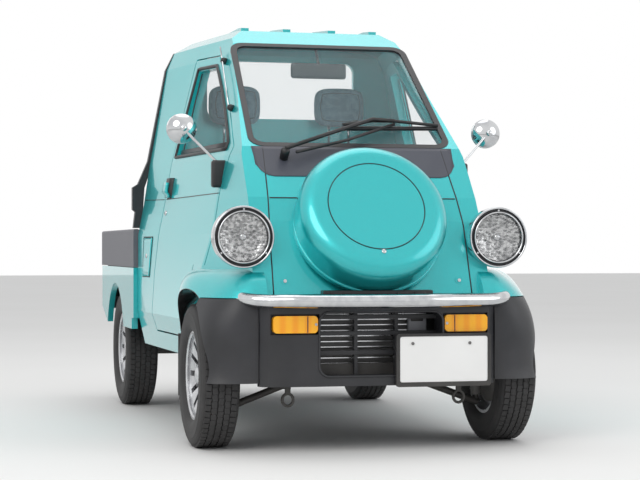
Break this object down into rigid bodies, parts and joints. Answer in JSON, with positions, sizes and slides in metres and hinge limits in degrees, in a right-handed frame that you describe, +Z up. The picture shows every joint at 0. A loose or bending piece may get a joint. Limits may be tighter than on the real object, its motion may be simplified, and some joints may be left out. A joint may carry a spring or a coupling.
{
  "type": "micro pickup truck",
  "caption": "Tiny two-seat pickup with round headlamps in pods, a round spare wheel cover on its nose and a short open bed.",
  "frame": {"origin": "on the ground under the middle of the overall length and width", "axes": "-Y is forward, +X is the vehicle's left, +Z up"},
  "size_m": [1.328, 2.7899, 1.6443],
  "materials": {
    "paint": "gloss",
    "dark_plastic": "matte",
    "cowl_grey": "satin",
    "bed_grey": "satin",
    "black_metal": "satin",
    "chrome": "polished",
    "glass": "clear",
    "amber": "gloss",
    "red_lens": "gloss",
    "white_plate": "gloss",
    "rubber_tyre": "matte",
    "wheel_silver": "satin",
    "cast": "matte",
    "seat_cloth": "woven",
    "dash_plastic": "matte",
    "core": "matte"
  },
  "bodies": {
    "truck": {"cab_shell": "paint", "nose_panel": "paint", "cowl_panel": "cowl_grey", "cab_glass": "glass", "floor_pan": "black_metal", "front_fenders": "paint", "fender_claddings": "dark_plastic", "wheel_housings": "dark_plastic", "front_bumper": "dark_plastic", "front_indicators": "amber", "grille": "dark_plastic", "radiator": "core", "bumper_bar": "chrome", "headlamp_bowls": "chrome", "headlamp_lenses": "glass", "spare_cover": "paint", "cargo_bed": "bed_grey", "bed_sides": "paint", "bed_bands": "bed_grey", "tail_lamps": "red_lens", "number_plates": "white_plate", "cab_rear_guards": "dark_plastic", "chassis_frame": "black_metal", "front_suspension": "black_metal", "engine_block": "cast", "rear_axle": "cast", "driveline": "cast", "fuel_tank": "black_metal", "driver_seat_cushion": "seat_cloth", "driver_seat_back": "seat_cloth", "passenger_seat_cushion": "seat_cloth", "passenger_seat_back": "seat_cloth", "headrests": "seat_cloth", "dashboard": "dash_plastic"},
    "steering_wheel": {"steering_wheel": "dark_plastic"},
    "door_left": {"door_left": "paint", "door_glass_left": "glass", "mirror_left": "chrome"},
    "door_right": {"door_right": "paint", "door_glass_right": "glass", "mirror_right": "chrome"},
    "tailgate": {"tailgate": "bed_grey"},
    "knuckle_left": {"knuckle_left": "cast"},
    "knuckle_right": {"knuckle_right": "cast"},
    "wheel_front_left": {"tyre_front_left": "rubber_tyre", "rim_front_left": "wheel_silver"},
    "wheel_front_right": {"tyre_front_right": "rubber_tyre", "rim_front_right": "wheel_silver"},
    "wheel_rear_left": {"tyre_rear_left": "rubber_tyre", "rim_rear_left": "wheel_silver"},
    "wheel_rear_right": {"tyre_rear_right": "rubber_tyre", "rim_rear_right": "wheel_silver"}
  },
  "joints": [
    {"name": "roll_front_left", "type": "hinge", "parent": "knuckle_left", "child": "wheel_front_left", "pos_m": [0.555, -0.945, 0.26], "axis": [1, 0, 0], "continuous": true},
    {"name": "roll_front_right", "type": "hinge", "parent": "knuckle_right", "child": "wheel_front_right", "pos_m": [-0.555, -0.945, 0.26], "axis": [1, 0, 0], "continuous": true},
    {"name": "roll_rear_left", "type": "hinge", "parent": "truck", "child": "wheel_rear_left", "pos_m": [0.555, 0.895, 0.26], "axis": [1, 0, 0], "continuous": true},
    {"name": "roll_rear_right", "type": "hinge", "parent": "truck", "child": "wheel_rear_right", "pos_m": [-0.555, 0.895, 0.26], "axis": [1, 0, 0], "continuous": true},
    {"name": "turn_steering_wheel", "type": "hinge", "parent": "truck", "child": "steering_wheel", "pos_m": [-0.225, -0.545, 0.985], "axis": [0, 0.6428, 0.766], "range_deg": [-540, 540]},
    {"name": "steer_left", "type": "hinge", "parent": "truck", "child": "knuckle_left", "pos_m": [0.475, -0.945, 0.26], "axis": [0, 0, 1], "range_deg": [-30, 30]},
    {"name": "steer_right", "type": "hinge", "parent": "truck", "child": "knuckle_right", "pos_m": [-0.475, -0.945, 0.26], "axis": [0, 0, 1], "range_deg": [-30, 30]},
    {"name": "door_left_hinge", "type": "hinge", "parent": "truck", "child": "door_left", "pos_m": [0.538, -0.762, 0.8], "axis": [0, 0, -1], "range_deg": [0, 60]},
    {"name": "door_right_hinge", "type": "hinge", "parent": "truck", "child": "door_right", "pos_m": [-0.538, -0.762, 0.8], "axis": [0, 0, 1], "range_deg": [0, 60]},
    {"name": "tailgate_hinge", "type": "hinge", "parent": "truck", "child": "tailgate", "pos_m": [0, 1.381, 0.598], "axis": [-1, 0, 0], "range_deg": [0, 90]}
  ],
  "couplings": [
    {"joint": "steer_left", "follows": "turn_steering_wheel", "ratio": 0.055556},
    {"joint": "steer_right", "follows": "turn_steering_wheel", "ratio": 0.055556}
  ]
}
